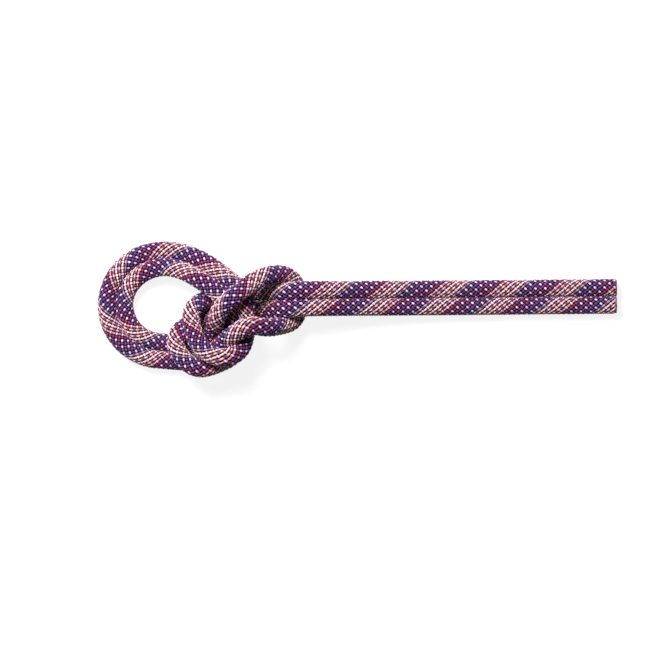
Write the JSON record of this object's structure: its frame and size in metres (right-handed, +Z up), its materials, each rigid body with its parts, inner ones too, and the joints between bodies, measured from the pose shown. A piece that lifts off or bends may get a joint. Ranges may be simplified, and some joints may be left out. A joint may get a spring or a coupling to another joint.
{
  "type": "climbing rope",
  "caption": "Braided climbing rope tied in a bowline on the bight: a doubled eye to clip into, a tight collar, and standing parts that run out straight to sealed cut ends.",
  "frame": {"origin": "centre of the lying rope's plan box, on the floor it lies on", "axes": "+X from the doubled eye towards the cut ends of the standing parts, +Z up off the floor"},
  "size_m": [0.2795, 0.0755, 0.0333],
  "materials": {
    "sheath": "tight braid of peach, plum and navy nylon yarns with a low sheen",
    "core": "undyed twisted nylon yarn",
    "marker": "one dyed thread",
    "melted_yarn": "yarn melted hard and smooth by a hot blade"
  },
  "bodies": {
    "root": {"sheath": "sheath", "core_strand_01": "core", "core_strand_02": "core", "core_strand_03": "core", "core_strand_04": "core", "core_strand_05": "core", "core_strand_06": "core", "core_strand_07": "core", "core_strand_08": "core", "core_strand_09": "core", "core_strand_10": "core", "core_strand_11": "core", "core_strand_12": "core", "marker_thread": "marker", "melted_rim_1": "melted_yarn", "melted_rim_2": "melted_yarn"}
  },
  "joints": []
}
